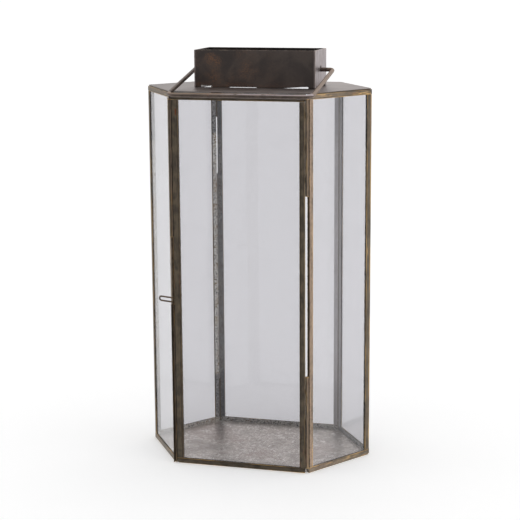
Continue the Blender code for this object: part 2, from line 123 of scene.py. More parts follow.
class Graph:
    """The nodes of one material or world."""

    def __init__(self, tree: bpy.types.NodeTree) -> None:
        """Start with an empty tree."""
        self.tree = tree
        tree.nodes.clear()

    def node(self, kind: str, settings: dict | None = None, inputs: dict | None = None,
             output: int | str = 0) -> bpy.types.NodeSocket:
        """Add any node.

        Args:
            kind: The node's type.
            settings: Its own options, set before its sockets are used.
            inputs: A value or a link for each named or numbered socket.
            output: The socket to return.

        Returns:
            One output socket, or the node's first input when it has no output.
        """
        made = self.tree.nodes.new(kind)
        for name, value in (settings or {}).items():
            setattr(made, name, value)
        for name, value in (inputs or {}).items():
            socket = made.inputs[name]
            source = value.socket if isinstance(value, Value) else value
            if isinstance(source, bpy.types.NodeSocket):
                self.tree.links.new(source, socket)
            else:
                socket.default_value = source
        return made.outputs[output] if len(made.outputs) else made.inputs[0]

    def math(self, operation: str, *terms: Number) -> Value:
        """Add a Math node on one or two numbers."""
        return Value(self, self.node("ShaderNodeMath", {"operation": operation}, dict(enumerate(terms))))

    def position(self) -> bpy.types.NodeSocket:
        """Return the place on the piece, in metres, in the lantern's own frame."""
        return self.node("ShaderNodeTexCoord", output="Object")

    def split(self, vector: bpy.types.NodeSocket) -> tuple[Value, Value, Value]:
        """Return a vector's X, Y and Z."""
        self.node("ShaderNodeSeparateXYZ", {}, {0: vector})
        outputs = self.tree.nodes[-1].outputs
        return Value(self, outputs[0]), Value(self, outputs[1]), Value(self, outputs[2])

    def join(self, x: Number, y: Number, z: Number) -> bpy.types.NodeSocket:
        """Return a vector made of three numbers."""
        return self.node("ShaderNodeCombineXYZ", {}, {0: x, 1: y, 2: z})

    def dot(self, vector: bpy.types.NodeSocket, axis: Vector) -> Value:
        """Return how far a vector reaches along a fixed axis."""
        inputs = {0: vector, 1: tuple(axis)}
        return Value(self, self.node("ShaderNodeVectorMath", {"operation": "DOT_PRODUCT"}, inputs, "Value"))

    def noise(self, vector: bpy.types.NodeSocket, scale: float, detail: float = 3.0,
              roughness: float = 0.5, distortion: float = 0.0) -> Value:
        """Add a soft noise.

        Args:
            vector: Where it is read.
            scale: Features per metre.
            detail: Octaves.
            roughness: How strong the finer octaves are.
            distortion: How much the pattern swirls.

        Returns:
            The noise, about 0.5 in the middle of its range.
        """
        inputs = {"Vector": vector, "Scale": scale, "Detail": detail, "Roughness": roughness,
                  "Distortion": distortion}
        return Value(self, self.node("ShaderNodeTexNoise", {}, inputs))

    def cells(self, vector: bpy.types.NodeSocket, scale: float) -> Value:
        """Return a random level for each cell of a Voronoi pattern, scale cells to the metre."""
        socket = self.node("ShaderNodeTexVoronoi", {}, {"Vector": vector, "Scale": scale}, "Color")
        return self.split(socket)[0]

    def mix(self, share: Number, first: Colour | bpy.types.NodeSocket,
            second: Colour | bpy.types.NodeSocket) -> bpy.types.NodeSocket:
        """Blend two colours.

        Args:
            share: How much of the second shows.
            first: The colour where share is 0.
            second: The colour where share is 1.

        Returns:
            The blended colour.
        """
        colour_a, colour_b, colour_out = 6, 7, 2
        inputs = {0: share, colour_a: first, colour_b: second}
        return self.node("ShaderNodeMix", {"data_type": "RGBA"}, inputs, colour_out)

    def bump(self, height: Value, depth: float, strength: float = 1.0) -> bpy.types.NodeSocket:
        """Return a normal bent by a relief that is depth metres deep."""
        return self.node("ShaderNodeBump", {}, {"Height": height, "Distance": depth, "Strength": strength})

    def finish(self, shader: bpy.types.NodeSocket, output: str = "ShaderNodeOutputMaterial") -> None:
        """Show a shader on the surface."""
        self.node(output, {}, {"Surface": shader})


def new_material(name: str) -> tuple[bpy.types.Material, Graph]:
    """Make an empty material and its graph."""
    material = bpy.data.materials.new(name)
    material.use_nodes = True
    return material, Graph(material.node_tree)


# ------------------------------------------------------------------------------------ the frame
class Body(Enum):
    """The bodies that modelled pieces ride on."""

    LANTERN = "lantern"
    DOOR = "door"


class Run(Enum):
    """Which way a came runs in its frame."""

    STILE = "stile"
    RAIL = "rail"


def corners(node: str) -> tuple[Vector, Vector]:
    """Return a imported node's lowest and highest corners at rest."""
    low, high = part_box(node)
    return Vector(low), Vector(high)


@dataclass(frozen=True)
class Face:
    """One glazed face: four cames and a pane, with its own directions."""

    name: str
    outward: Vector
    direction: Vector
    middle: Vector
    half_width: float
    half_height: float
    half_depth: float
    flanges: dict[Run, tuple[float, float]]

    @classmethod
    def measure(cls, name: str) -> Face:
        """Read one face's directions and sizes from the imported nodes.

        Args:
            name: The face's name, which starts its nodes' names.

        Returns:
            The face.
        """
        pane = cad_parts[f"{name}_glass"].data
        outward = max(pane.polygons, key=lambda polygon: polygon.area).normal.copy()
        outward.z = 0.0
        outward.normalize()
        centre = sum((vertex.co for vertex in pane.vertices), Vector()) / len(pane.vertices)
        if outward.dot(centre) < 0.0:
            outward.negate()
        direction = Vector((-outward.y, outward.x, 0.0))
        rims = [f"{name}_{part}" for part in ("left_stile", "right_stile", "bottom_rail", "top_rail")]
        points = [vertex.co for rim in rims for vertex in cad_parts[rim].data.vertices]
        spans = []
        for axis in (direction, outward, Vector((0.0, 0.0, 1.0))):
            reach = [point.dot(axis) for point in points]
            spans.append((min(reach), max(reach)))
        (left, right), (inner, outer), (low, high) = spans
        middle = direction * (left + right) / 2 + outward * (inner + outer) / 2
        middle.z = (low + high) / 2
        widths = []
        for rim, axis in zip(rims, (direction, direction, Vector((0.0, 0.0, 1.0)), Vector((0.0, 0.0, 1.0)))):
            reach = [vertex.co.dot(axis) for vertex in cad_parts[rim].data.vertices]
            widths.append(max(reach) - min(reach))
        flanges = {Run.STILE: (widths[0], widths[1]), Run.RAIL: (widths[2], widths[3])}
        return cls(name, outward, direction, middle, (right - left) / 2, (high - low) / 2,
                   (outer - inner) / 2, flanges)

    def place(self, run: float, depth: float, height: float) -> Vector:
        """Return a point by its distance right of the middle, behind the face and above the table."""
        at = self.middle + self.direction * run + self.outward * (self.half_depth - depth)
        return Vector((at.x, at.y, height))


# ------------------------------------------------------------------------------------ finishes
@dataclass(frozen=True)
class AgedBronze:
    """Brown-black patina on sheet metal, rubbed through to a golden brass on its edges."""

    deep: Colour = tone(0.44, 0.405, 0.36)
    olive: Colour = tone(0.55, 0.50, 0.43)
    tan: Colour = tone(0.72, 0.62, 0.54)
    gold: Colour = tone(0.93, 0.76, 0.50)
    rust: Colour = tone(0.58, 0.36, 0.25)
    # A dark tone used both for real grime and for painted shade.
    grime_and_shade: Colour = tone(0.22, 0.20, 0.18)
    metallic: float = 0.92
    roughness: float = 0.36

    def patina(self, graph: Graph, place: bpy.types.NodeSocket,
               streaks: bpy.types.NodeSocket) -> tuple[bpy.types.NodeSocket, Value, Value, Value]:
        """Build the brown coat that every sheet piece has.

        Args:
            graph: The material's graph.
            place: Where the even patterns are read.
            streaks: The same place, drawn out along the piece.

        Returns:
            Its colour, its clouds, its fine streaks and its rust.
        """
        clouds = graph.noise(place, 85.0, 5.0, 0.62, 0.4)
        lines = graph.noise(streaks, 1000.0, 3.0, 0.6)
        specks = graph.noise(place, 1500.0, 2.0, 0.6)
        rust = graph.noise(streaks, 190.0, 3.0, 0.6).step(0.61, 0.70) * specks.step(0.36, 0.56)
        colour = graph.mix(clouds.step(0.36, 0.64), self.deep, self.olive)
        colour = graph.mix(lines.step(0.50, 0.72) * 0.38, colour, self.tan)
        colour = graph.mix(lines.step(0.47, 0.30) * 0.35, colour, self.grime_and_shade)
        colour = graph.mix(specks.step(0.60, 0.72) * clouds.step(0.45, 0.62) * 0.4, colour, self.tan)
        colour = graph.mix(rust * 0.75, colour, self.rust)
        return colour, clouds, lines, rust

    def shade(self, graph: Graph, colour: bpy.types.NodeSocket, dull: Value, metal: Number,
              relief: Value) -> None:
        """Join the finished layers in one metal shader.

        Args:
            graph: The material's graph.
            colour: The metal's colour.
            dull: Added to the roughness.
            metal: How metallic it is.
            relief: The height of its dents and brush marks, in tenths of a millimetre.
        """
        graph.finish(graph.node("ShaderNodeBsdfPrincipled", {}, {
            "Base Color": colour, "Roughness": dull + self.roughness, "Metallic": metal,
            "Normal": graph.bump(relief, 0.0001)}))


@dataclass(frozen=True)
class BareZinc:
    """Zinc coat left bare on the inside of the cames, frosted and flecked."""

    bright: Colour = tone(0.95, 0.94, 0.91)
    middling: Colour = tone(0.72, 0.71, 0.70)
    dark: Colour = tone(0.36, 0.36, 0.37)
    plain: Colour = tone(0.80, 0.79, 0.80)
    stain: Colour = tone(0.66, 0.56, 0.42)
    top_smoke: float = 0.052
    foot_smoke: float = 0.052
    smoke_edge: float = 0.004

    def colour(self, graph: Graph, place: bpy.types.NodeSocket, above: Value, below: Value,
               clean: float) -> tuple[bpy.types.NodeSocket, Value]:
        """Build the mottled zinc.

        Args:
            graph: The material's graph.
            place: Where it is read.
            above: The distance above the foot of the frame.
            below: The distance below its top.
            clean: How far the smoked ends are frosted as well, from 0 to 1.

        Returns:
            Its colour and its flecks.
        """
        flecks = graph.noise(place, 780.0, 2.0, 0.6, 0.5)
        patches = graph.noise(place, 130.0, 3.0, 0.6)
        ragged = (patches - 0.5) * 0.012
        frost = ((above + ragged).step(self.foot_smoke, self.foot_smoke + self.smoke_edge)
                 * (below + ragged).step(self.top_smoke, self.top_smoke + self.smoke_edge))
        frost = frost * (1.0 - clean) + clean
        coat = graph.mix(flecks.step(0.42, 0.50), self.middling, self.bright)
        coat = graph.mix(flecks.step(0.46, 0.38) * 0.85, coat, self.dark)
        coat = graph.mix(patches.step(0.46, 0.56) * flecks.step(0.56, 0.48) * 0.7, coat, self.stain)
        smoked = graph.mix(flecks.step(0.36, 0.62), self.dark, self.middling)
        return graph.mix(frost, smoked, coat), flecks


@dataclass(frozen=True)
class Wear:
    """How one face's cames are rubbed, darkened and smoked, and how much painted shade lies along their left
    outer edge, from 0 to 1.
    """

    gilded: float = 0.35
    left_tan: float = 0.0
    left_dark: float = 0.0
    right_dark: float = 0.0
    left_smoke: float = 0.0
    right_smoke: float = 0.0
    left_even: float = 0.0
    right_even: float = 0.0
    clean: float = 0.0
    edges: float = 0.8
    edge_shade: float = 0.0
    rusted: float = 0.0


@dataclass(frozen=True)
class CameFinish:
    """The finish of one face's cames: bronze outside, zinc inside, rubbed edges between."""

    face: Face
    run: Run
    bronze: AgedBronze
    zinc: BareZinc

    def material(self, wear: Wear) -> bpy.types.Material:
        """Build the material.

        Args:
            wear: How it is worn and smoked.

        Returns:
            The material.
        """
        face, bronze = self.face, self.bronze
        gilded = wear.gilded
        made, graph = new_material(f"{face.name}_{self.run.value}_bronze")
        place = graph.position()
        run = graph.dot(place, face.direction) - face.middle.dot(face.direction)
        depth = face.middle.dot(face.outward) + face.half_depth - graph.dot(place, face.outward)
        height = graph.split(place)[2]
        drawn, fine = 0.10, 1.0
        near, far = face.flanges[self.run]
        if self.run is Run.STILE:
            across = run
            edge = face.half_width - abs(run)
            streaks = graph.join(run * fine, depth * fine, height * drawn)
        else:
            across = height - face.middle.z
            edge = face.half_height - abs(across)
            streaks = graph.join(run * drawn, depth * fine, height * fine)
        colour, clouds, lines, rust = bronze.patina(graph, place, streaks)

        flange = across.step(-0.001, 0.001) * (far - near) + near
        ragged = graph.noise(place, 420.0, 3.0, 0.65)
        rubbed = graph.noise(streaks, 260.0, 4.0, 0.6)
        outer = (edge + ragged * 0.0006).step(0.0009, 0.0004)
        inner = (edge - flange - ragged * 0.0005).step(-0.0010, -0.0004)
        patches = rubbed.step(0.66 - 0.22 * gilded, 0.80 - 0.22 * gilded)
        right = (run + clouds * 0.02).step(-0.02, 0.04)
        # A dark line about a millimetre in from the flange's glass edge: painted shade along the edge of the
        # flange.
        grime_and_shade = (abs(edge - flange + 0.0010) + ragged * 0.0004).step(0.0008, 0.0003)
        dark = right * (wear.right_dark - wear.left_dark) + wear.left_dark
        colour = graph.mix((grime_and_shade * 0.55).most(dark), colour, bronze.grime_and_shade)
        spot = abs(height - (face.middle.z + face.half_height - 0.015)) + ragged * 0.003
        spot = spot.step(0.006, 0.003) * abs(edge - flange * 0.65).step(0.0011, 0.0005) * (1.0 - right)
        colour = graph.mix(spot * wear.rusted, colour, bronze.rust)
        bare = rubbed.step(0.30, 0.60) * 0.6 + ragged.step(0.40, 0.60) * 0.5
        tanned = (1.0 - right) * wear.left_tan * bare
        colour = graph.mix(tanned, colour, bronze.tan)
        # Painted shade along the left outer edge, where the frame meets its neighbour, with the rubbed gold
        # kept off it.
        colour = graph.mix(outer * (1.0 - right) * wear.edge_shade, colour, bronze.grime_and_shade)
        outer = outer * ((right - 1.0) * wear.edge_shade + 1.0)
        handled = outer.most(inner) * rubbed.step(0.38, 0.60) * wear.edges
        wear_and_sheen = handled.most(patches * lines.step(0.40, 0.60))
        colour = graph.mix(wear_and_sheen * 0.75, colour, bronze.gold)

        coat, flecks = self.zinc.colour(graph, place, height - (face.middle.z - face.half_height),
                                        face.middle.z + face.half_height - height, wear.clean)
        even = right * (wear.right_even - wear.left_even) + wear.left_even
        coat = graph.mix(even, coat, self.zinc.plain)
        inside = depth.step(face.half_depth * 1.35, face.half_depth * 1.65)
        smoke = right * (wear.right_smoke - wear.left_smoke) + wear.left_smoke
        colour = graph.mix(inside, colour, graph.mix(smoke, coat, self.zinc.dark))
        relief = clouds * 0.6 + lines * 0.22 + ragged * 0.25 + flecks * 0.3
        dull = clouds * 0.22 + lines * 0.16 - wear_and_sheen * 0.12 - 0.10
        bronze.shade(graph, colour, dull, 1.0 - rust * 0.5 - (1.0 - bronze.metallic), relief)
        return made


class ChimneyFinish(AgedBronze):
    """Dark bronze sheet with orange freckles, brushed ends and a rubbed rim, with painted shade inside the
    sleeve and round its foot.
    """

    def material(self) -> bpy.types.Material:
        """Build the material."""
        low, high = corners("chimney")
        middle, half = (low + high) / 2, (high - low) / 2
        sheet = 0.0008
        made, graph = new_material("chimney_bronze")
        place = graph.position()
        x, y, z = graph.split(place)
        across, through = abs(x - middle.x), abs(y - middle.y)
        streaks = graph.join(x, y, z * 0.12)
        clouds = graph.noise(place, 46.0, 5.0, 0.6, 0.5)
        broad = graph.noise(place, 24.0, 2.0, 0.5)
        lines = graph.noise(streaks, 900.0, 3.0, 0.6)
        freckles = graph.noise(place, 1500.0, 3.0, 0.75)
        fields = clouds.step(0.36, 0.62) * broad.step(0.36, 0.60)
        fields = fields * (x + clouds * 0.05).step(middle.x + half.x * 1.2, middle.x - half.x * 0.2)
        colour = graph.mix(clouds.step(0.35, 0.65), tone(0.40, 0.37, 0.36), tone(0.47, 0.43, 0.41))
        hem_glow = (z - low.z + clouds * 0.012).step(0.013, 0.006) * 0.5
        fields = fields.most(hem_glow * x.step(middle.x + half.x, middle.x - half.x * 0.5))
        colour = graph.mix(fields * freckles.step(0.36, 0.60) * 0.36, colour, tone(0.62, 0.44, 0.33))
        colour = graph.mix(freckles.step(0.52, 0.64) * fields * 0.9, colour, tone(0.88, 0.62, 0.40))
        colour = graph.mix(freckles.step(0.46, 0.34) * 0.3, colour, self.grime_and_shade)
        ends = across.step(half.x - sheet * 2.0, half.x - sheet)
        colour = graph.mix(ends * (lines.step(0.40, 0.64) * 0.30 + 0.34), colour, tone(0.83, 0.79, 0.80))
        colour = graph.mix(ends * lines.step(0.42, 0.30) * 0.25, colour, self.rust)
        stained = graph.noise(streaks, 300.0, 3.0, 0.6)
        rim = (z + stained * 0.0004).step(high.z - 0.0003, high.z + 0.0001)
        upright = across.step(half.x - 0.0010, half.x) * through.step(half.y - 0.0010, half.y)
        wear_and_sheen = rim.most(upright) * stained.step(0.36, 0.60)
        colour = graph.mix(wear_and_sheen * 0.7, colour, self.tan)
        # Painted shade on the inner faces of the sleeve.
        inside = across.step(half.x - sheet * 0.9, half.x - sheet * 1.6)
        inside = inside * through.step(half.y - sheet * 0.4, half.y - sheet * 0.95)
        colour = graph.mix(inside * 0.75, colour, tone(0.20, 0.18, 0.17))
        # Painted shade round the chimney's foot, where it meets the roof.
        foot = (z - low.z + stained * 0.0012).step(0.0022, 0.0006)
        colour = graph.mix(foot * 0.6, colour, self.grime_and_shade)
        relief = broad * 3.5 + clouds * 0.8 + freckles * 0.18 + lines * 0.16
        dull = clouds * 0.16 + freckles * 0.14 - wear_and_sheen * 0.1 - 0.06
        self.shade(graph, colour, dull, self.metallic, relief)
        return made


class RoofFinish(AgedBronze):
    """The smoother, greyer coat of the roof plate, with painted shade round the chimney's feet."""

    def material(self) -> bpy.types.Material:
        """Build the material."""
        low, high = corners("roof_plate")
        foot_low, foot_high = corners("chimney")
        middle, half = (foot_low + foot_high) / 2, (foot_high - foot_low) / 2
        made, graph = new_material("roof_bronze")
        place = graph.position()
        x, y, z = graph.split(place)
        clouds = graph.noise(place, 34.0, 5.0, 0.6, 0.6)
        grain = graph.noise(graph.join(x * 0.3, y, z), 1200.0, 3.0, 0.65)
        specks = graph.noise(place, 700.0, 3.0, 0.75)
        colour = graph.mix(clouds.step(0.34, 0.66), tone(0.57, 0.53, 0.52), tone(0.66, 0.62, 0.61))
        colour = graph.mix(grain.step(0.50, 0.72) * 0.5, colour, tone(0.72, 0.64, 0.56))
        colour = graph.mix(specks.step(0.60, 0.72) * 0.6, colour, tone(0.42, 0.34, 0.28))
        # Painted shade in a soft ring round the chimney's feet.
        beside = (abs(x - middle.x) - half.x).most(abs(y - middle.y) - half.y)
        halo = (beside + clouds * 0.006).step(0.009, 0.002)
        colour = graph.mix(halo * 0.45, colour, self.grime_and_shade)
        colour = graph.mix(x.step(foot_low.x + 0.03, low.x) * 0.36, colour, self.grime_and_shade)
        colour = graph.mix(x.step(foot_high.x - 0.01, high.x) * 0.12, colour, self.grime_and_shade)
        under = z.step(high.z - 0.0003, low.z + 0.0002)
        colour = graph.mix(under * 0.8, colour, tone(0.26, 0.24, 0.23))
        relief = clouds * 2.2 + grain * 0.2 + specks * 0.15
        self.shade(graph, colour, clouds * 0.2 + grain * 0.12 - 0.08, 0.9, relief)
        return made


class WireFinish(AgedBronze):
    """Drawn wire with a patchy coat; a bail bar also gets a painted highlight along its top and painted light
    on its right arm.
    """

    def material(self, name: str, base: Colour, rubbed: Colour, scale: float,
                 bar: Vector | None = None) -> bpy.types.Material:
        """Build the material.

        Args:
            name: The material's name.
            base: The coat.
            rubbed: What shows where the coat is rubbed.
            scale: Patches per metre.
            bar: The lowest front corner of a bar that gets a painted highlight along its top and painted
                light on its right arm.

        Returns:
            The material.
        """
        made, graph = new_material(name)
        place = graph.position()
        patches = graph.noise(place, scale, 4.0, 0.65, 0.3)
        grain = graph.noise(place, 1900.0, 3.0, 0.7)
        colour = graph.mix(patches.step(0.38, 0.62), base, rubbed)
        colour = graph.mix(grain.step(0.52, 0.66) * 0.4, colour, self.tan)
        colour = graph.mix(grain.step(0.46, 0.34) * 0.55, colour, self.grime_and_shade)
        colour = graph.mix(patches.step(0.64, 0.72) * 0.6, colour, self.rust)
        if bar:
            x, y, z = graph.split(place)
            # Painted highlight along the top of the bar, brownish at the left end and pale lilac towards the
            # right.
            shine = (z - bar.z).step(0.0031, 0.0038) * (y - bar.y).step(0.0075, 0.0055)
            wear_and_sheen = graph.mix((x + patches * 0.02).step(-0.02, 0.02), self.tan, tone(0.92, 0.86, 0.88))
            colour = graph.mix(shine * patches.step(0.32, 0.46) * 0.6, colour, wear_and_sheen)
            # Painted light: the right arm is painted a lighter tan than the left.
            arm = x.step(0.068, 0.073) * (y - bar.y).step(0.004, 0.010)
            colour = graph.mix(arm * 0.45, colour, self.tan)
        self.shade(graph, colour, patches * 0.2 + grain * 0.14 - 0.12, 0.9, patches * 0.5 + grain * 0.3)
        return made


class TubeFinish(AgedBronze):
    """Rolled tube with a dark seam, a brassy painted highlight down its right half and painted shade along
    its right edge.
    """

    def material(self, node: str, seam: float, dark: float = 0.0) -> bpy.types.Material:
        """Build the material.

        Args:
            node: The tube's node.
            seam: Bearing of the seam round the tube, in radians.
            dark: How far its coat is blackened, from 0 to 1.

        Returns:
            The material.
        """
        low, high = corners(node)
        middle = (low + high) / 2
        made, graph = new_material(f"{node}_bronze")
        place = graph.position()
        x, y, z = graph.split(place)
        streaks = graph.join(x, y, z * 0.08)
        colour, clouds, lines, rust = self.patina(graph, place, streaks)
        side = Vector((math.cos(seam), math.sin(seam), 0.0))
        across = Vector((-side.y, side.x, 0.0))
        off = abs(graph.dot(place, across) - middle.dot(across))
        facing = graph.dot(place, side) - middle.dot(side)
        slit = off.step(0.00022, 0.0001) * facing.step(0.0, 0.0004)
        ends = (z - low.z).step(0.0010, 0.0002).most((high.z - z).step(0.0010, 0.0002))
        wear_and_sheen = (graph.noise(streaks, 420.0, 3.0, 0.6).step(0.54, 0.70) * 0.5).most(ends * 0.6)
        radius = (high.x - low.x) / 2
        off_middle = x - middle.x
        # Painted highlight in a tan band down the right half of the tube, and painted shade along its right
        # edge.
        shine = off_middle.step(radius * 0.05, radius * 0.35) * off_middle.step(radius * 0.95, radius * 0.75)
        colour = graph.mix(shine * lines.step(0.30, 0.50) * 0.75 * (1.0 - dark), colour, self.tan)
        colour = graph.mix(off_middle.step(radius * 0.8, radius) * 0.8, colour, self.grime_and_shade)
        colour = graph.mix(wear_and_sheen * (1.0 - dark), colour, self.gold)
        colour = graph.mix((slit * 0.9).most(dark), colour, self.grime_and_shade)
        relief = clouds * 0.4 + lines * 0.2 - slit * 2.0
        self.shade(graph, colour, clouds * 0.2 + lines * 0.12 - wear_and_sheen * 0.1 - 0.08,
                   1.0 - rust * 0.4 - (1.0 - self.metallic), relief)
        return made


@dataclass(frozen=True)
class GalvanisedPlate:
    """Hot-dipped base plate: spangles, soft swirls and pinkish stains, with painted glints on its crystals.
    """

    light: Colour = tone(0.88, 0.845, 0.81)
    mid: Colour = tone(0.77, 0.73, 0.695)
    shade_colour: Colour = tone(0.58, 0.54, 0.51)
    pink: Colour = tone(0.75, 0.68, 0.645)
    spangle: float = 260.0

    def material(self) -> bpy.types.Material:
        """Build the material."""
        low, high = corners("base_plate")
        made, graph = new_material("galvanised_base")
        place = graph.position()
        x, y, z = graph.split(place)
        warp = graph.noise(place, 120.0, 3.0, 0.6)
        bent = graph.join(x + warp * 0.006, y + warp * 0.005, z)
        cells = graph.cells(bent, self.spangle)
        fine = graph.noise(bent, 900.0, 4.0, 0.78, 0.3)
        drift = graph.noise(place, 26.0, 3.0, 0.55, 0.8)
        colour = graph.mix(cells.step(0.15, 0.85), self.mid, self.light)
        colour = graph.mix(fine.step(0.50, 0.36) * 0.75, colour, self.shade_colour)
        # Bright specks on the spangle crystals: painted glints.
        crystals = graph.cells(graph.join(x + warp * 0.003, y * 0.6, z), 620.0)
        glints = (crystals * 0.6 + fine * 0.4).step(0.62, 0.70) * (drift + warp * 0.4).step(0.48, 0.76)
        colour = graph.mix(glints * 0.9, colour, tone(1.0, 0.985, 0.96))
        colour = graph.mix(drift.step(0.46, 0.66) * 0.6, colour, self.pink)
        colour = graph.mix(drift.step(0.46, 0.32) * 0.35, colour, self.shade_colour)
        under = z.step(high.z - 0.0004, low.z + 0.0003)
        colour = graph.mix(under * 0.6, colour, self.shade_colour)
        shader = graph.node("ShaderNodeBsdfPrincipled", {}, {
            "Base Color": colour, "Metallic": 0.8,
            "Roughness": cells * 0.10 + fine * 0.22 + 0.22,
            "Normal": graph.bump(fine * 0.5 + cells * 0.3 + drift * 1.2, 0.00012)})
        graph.finish(shader)
        return made


@dataclass(frozen=True)
class OldGlass:
    """Thin horticultural glass with a grey tint, slight waves and a breath of dust."""

    tint: Colour = (0.775, 0.771, 0.790, 1.0)
    ior: float = 1.47
    dust: Colour = tone(0.90, 0.89, 0.87)
    dust_share: float = 0.035

    def material(self, face: Face) -> bpy.types.Material:
        """Build one pane's glass.

        Args:
            face: The face that the pane belongs to.

        Returns:
            The material.
        """
        made, graph = new_material(f"{face.name}_glass")
        place = graph.position()
        height = graph.split(place)[2]
        run = graph.dot(place, face.direction) - face.middle.dot(face.direction)
        waves = graph.noise(place, 9.0, 1.0, 0.4)
        clear = graph.node("ShaderNodeBsdfPrincipled", {}, {
            "Base Color": self.tint, "Roughness": 0.0, "IOR": self.ior, "Transmission Weight": 1.0,
            "Normal": graph.bump(waves, 0.00035)})
        smudges = graph.noise(place, 30.0, 4.0, 0.62, 0.9)
        motes = graph.noise(place, 900.0, 2.0, 0.7)
        rim = (face.half_width - abs(run)).step(0.016, 0.004)
        rim = rim.most((height - (face.middle.z - face.half_height)).step(0.030, 0.004))
        share = smudges.step(0.50, 0.78) * 0.5 + rim * 0.6 + motes.step(0.66, 0.74) * 0.5
        dusty = graph.node("ShaderNodeBsdfPrincipled", {}, {"Base Color": self.dust, "Roughness": 0.9})
        soiled = graph.node("ShaderNodeMixShader", {}, {0: share * self.dust_share, 1: clear, 2: dusty})
        through = graph.node("ShaderNodeBsdfTransparent", {}, {"Color": self.tint})
        lamp_ray = graph.node("ShaderNodeLightPath", output="Is Shadow Ray")
        graph.finish(graph.node("ShaderNodeMixShader", {}, {0: lamp_ray, 1: soiled, 2: through}))
        return made


@dataclass(frozen=True)
class Solder:
    """Soft solder, run and cooled: grey where it is clean, brown where the patina took."""

    grey: Colour = tone(0.62, 0.60, 0.58)
    brown: Colour = tone(0.40, 0.36, 0.31)
    roughness: float = 0.30

    def material(self, name: str, coated: float) -> bpy.types.Material:
        """Build the material.

        Args:
            name: The material's name.
            coated: How much of it the brown coat covers, from 0 to 1.

        Returns:
            The material.
        """
        made, graph = new_material(name)
        place = graph.position()
        patches = graph.noise(place, 480.0, 3.0, 0.6)
        pits = graph.noise(place, 2400.0, 2.0, 0.6)
        colour = graph.mix(patches.step(0.85 - coated * 0.8, 0.65 - coated * 0.8), self.brown, self.grey)
        colour = graph.mix(pits.step(0.42, 0.30) * 0.6, colour, tone(0.20, 0.19, 0.18))
        graph.finish(graph.node("ShaderNodeBsdfPrincipled", {}, {
            "Base Color": colour, "Metallic": 0.9, "Roughness": patches * 0.25 + self.roughness,
            "Normal": graph.bump(patches * 0.6 + pits * 0.2, 0.0001)}))
        return made


# ------------------------------------------------------------------------------------ bench work
class Bench:
    """Blender's modelling tools, used on one piece at a time."""

    def start(self) -> None:
        """Leave nothing selected."""
        if bpy.context.object and bpy.context.object.mode != "OBJECT":
            bpy.ops.object.mode_set(mode="OBJECT")
        bpy.ops.object.select_all(action="DESELECT")

    def bead(self, name: str, place: Vector, size: Vector, turn: float, seed: int,
             roughness: float = 0.12) -> bpy.types.Object:
        """Model a run bead of solder.

        Args:
            name: The piece's name.
            place: Its centre.
            size: Its half lengths, before it is turned.
            turn: Its bearing about Z, in radians.
            seed: Which uneven shape it takes.
            roughness: How uneven it is, as a share of its least size.

        Returns:
            The piece.
        """
        self.start()
        bpy.ops.mesh.primitive_uv_sphere_add(segments=14, ring_count=9, radius=1.0)
        made = bpy.context.object
        made.name = made.data.name = name
        bpy.ops.object.mode_set(mode="EDIT")
        bpy.ops.mesh.select_all(action="SELECT")
        bpy.ops.transform.resize(value=tuple(size))
        bpy.ops.transform.vertex_random(offset=min(size) * roughness, uniform=1.0, seed=seed)
        bpy.ops.mesh.vertices_smooth(factor=0.5, repeat=1)
        bpy.ops.object.mode_set(mode="OBJECT")
        made.data.transform(Matrix.Translation(place) @ Matrix.Rotation(turn, 4, "Z"))
        self.soften(made)
        return made

    def seam(self, name: str, start: Vector, end: Vector, width: float, height: float,
             pitch: float, seed: int, turn: float = 0.0) -> bpy.types.Object:
        """Model a long seam of solder, uneven along its length.

        Args:
            name: The piece's name.
            start: One end.
            end: The other end, level with the first or right above it.
            width: Its width.
            height: Its height.
            pitch: About how far apart its ripples are.
            seed: Which uneven shape it takes.
            turn: How far it is turned about its own length, in radians.

        Returns:
            The piece.
        """
        self.start()
        bpy.ops.mesh.primitive_cube_add(size=1.0)
        made = bpy.context.object
        made.name = made.data.name = name
        length = (end - start).length
        bpy.ops.object.mode_set(mode="EDIT")
        bpy.ops.mesh.select_all(action="SELECT")
        bpy.ops.transform.resize(value=(width, height, length))
        bpy.ops.mesh.bevel(offset=min(width, height) * 0.35, segments=2, affect="EDGES")
        steps = max(3, round(length / pitch))
        for step in range(1, steps):
            bpy.ops.mesh.select_all(action="SELECT")
            level = length * (step / steps - 0.5)
            bpy.ops.mesh.bisect(plane_co=(0.0, 0.0, level), plane_no=(0.0, 0.0, 1.0))
        bpy.ops.mesh.select_all(action="SELECT")
        bpy.ops.transform.vertex_random(offset=min(width, height) * 0.22, uniform=0.8, seed=seed)
        bpy.ops.mesh.vertices_smooth(factor=0.4, repeat=1)
        bpy.ops.object.mode_set(mode="OBJECT")
        aim = (end - start).normalized().to_track_quat("Z", "Y").to_matrix().to_4x4()
        made.data.transform(Matrix.Translation((start + end) / 2) @ aim @ Matrix.Rotation(turn, 4, "Z"))
        self.soften(made)
        return made

    def soften(self, made: bpy.types.Object) -> None:
        """Round a piece off with one subdivision and smooth shading.

        Args:
            made: The piece, selected and active.
        """
        modifier = made.modifiers.new("soften", "SUBSURF")
        modifier.levels = modifier.render_levels = 1
        bpy.ops.object.modifier_apply(modifier=modifier.name)
        bpy.ops.object.shade_smooth()


